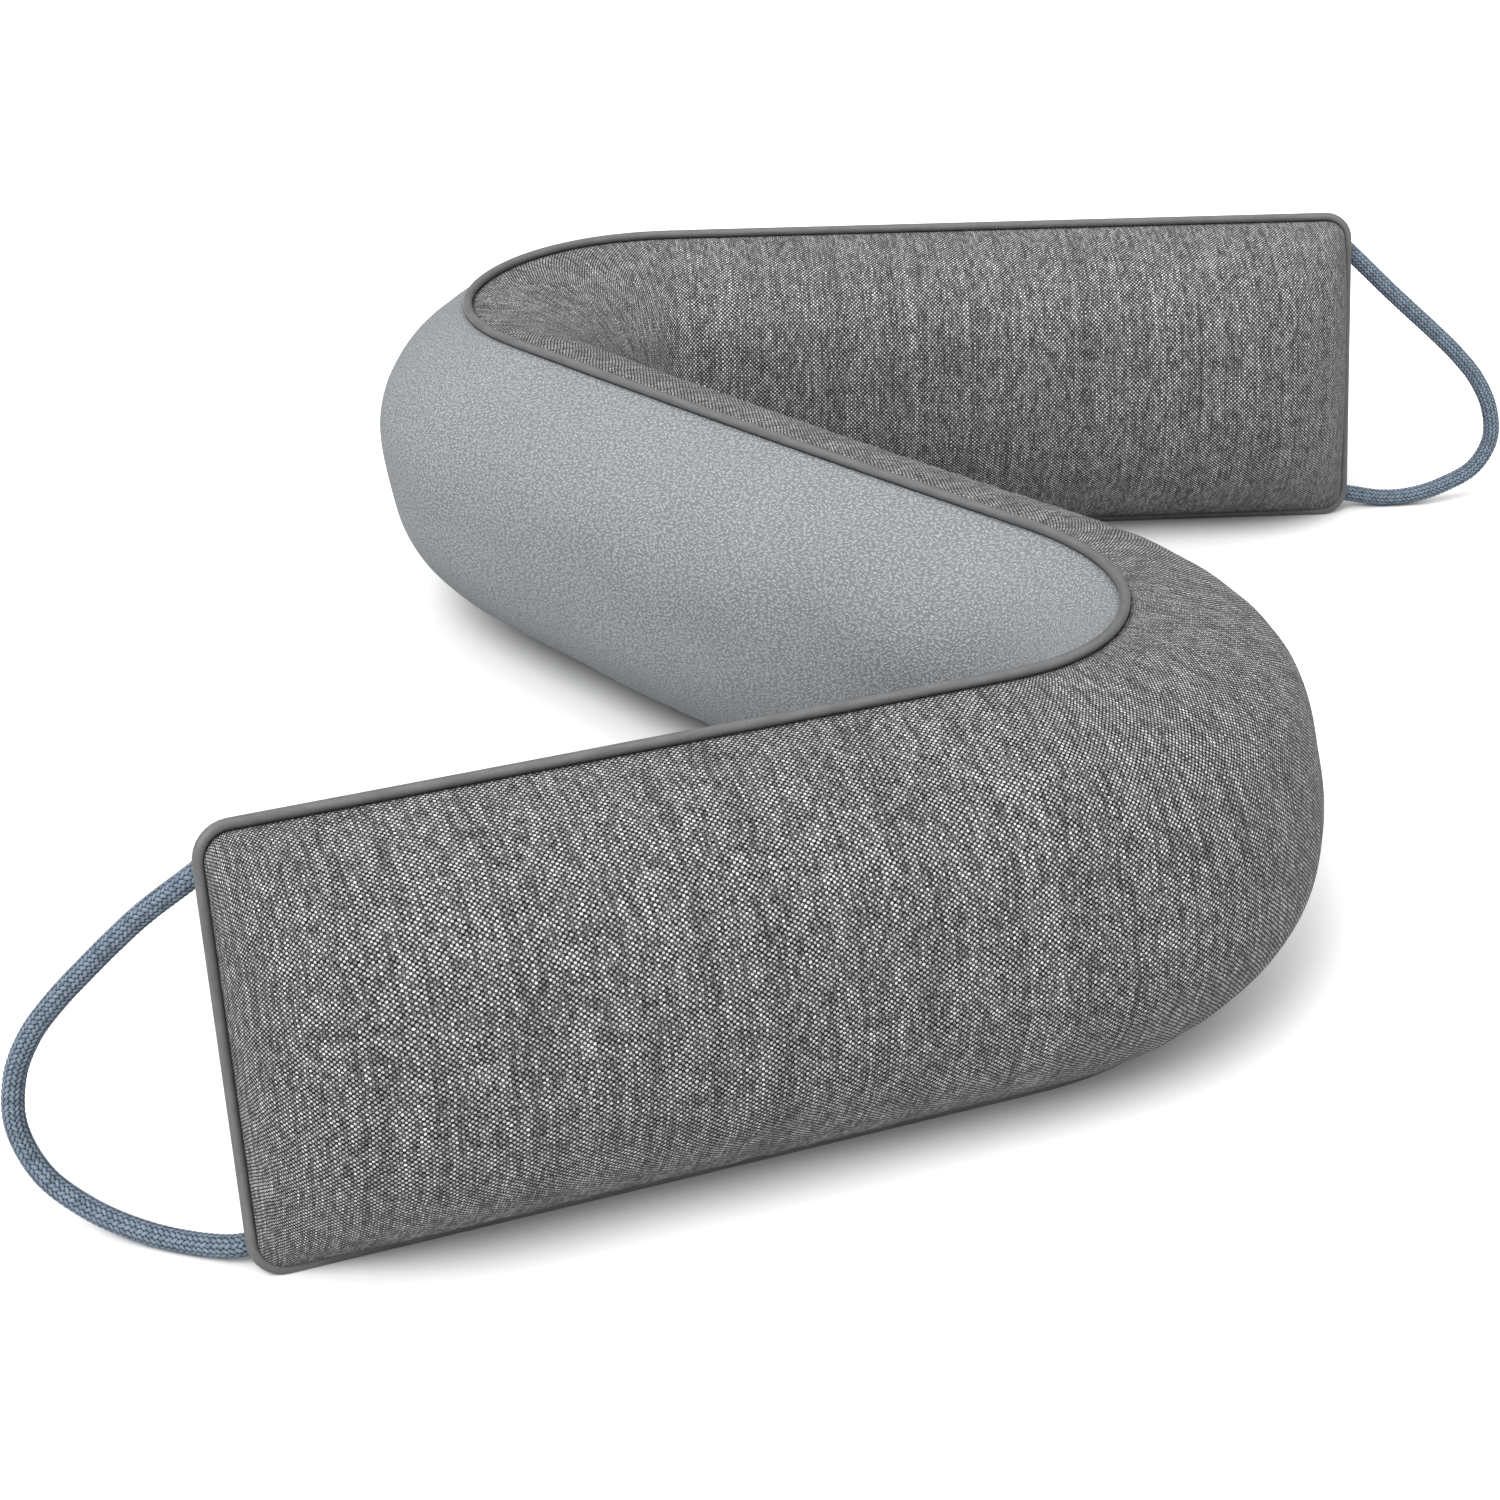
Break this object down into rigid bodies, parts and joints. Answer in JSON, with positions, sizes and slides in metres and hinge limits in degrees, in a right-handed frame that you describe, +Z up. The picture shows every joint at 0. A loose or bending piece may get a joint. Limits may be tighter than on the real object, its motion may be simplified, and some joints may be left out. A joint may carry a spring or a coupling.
{
  "type": "draught excluder",
  "caption": "Long stuffed draught excluder standing on its seam in an S, with a heather woven front, a plain back, piping and rope loops at both ends.",
  "frame": {"origin": "on the floor under the middle of the cushion's bounding box, rope loops left out", "axes": "+Z up, +X to the right and +Y away from the viewer of the S, the woven front of the near stretch facing -Y"},
  "size_m": [0.4534, 0.5072, 0.1103],
  "materials": {
    "heather_weave": "heather grey linen-look plain weave, matte",
    "plain_suede": "plain blue-grey fine-grained cloth, matte",
    "piping_satin": "dark grey fine cloth over a cord, slight sheen",
    "rope_braid": "slate-blue braided rope, matte with light flecks"
  },
  "bodies": {
    "root": {"front_panel": "heather_weave", "back_panel": "plain_suede", "piping": "piping_satin", "rope_loop_left": "rope_braid", "rope_loop_right": "rope_braid"}
  },
  "joints": []
}
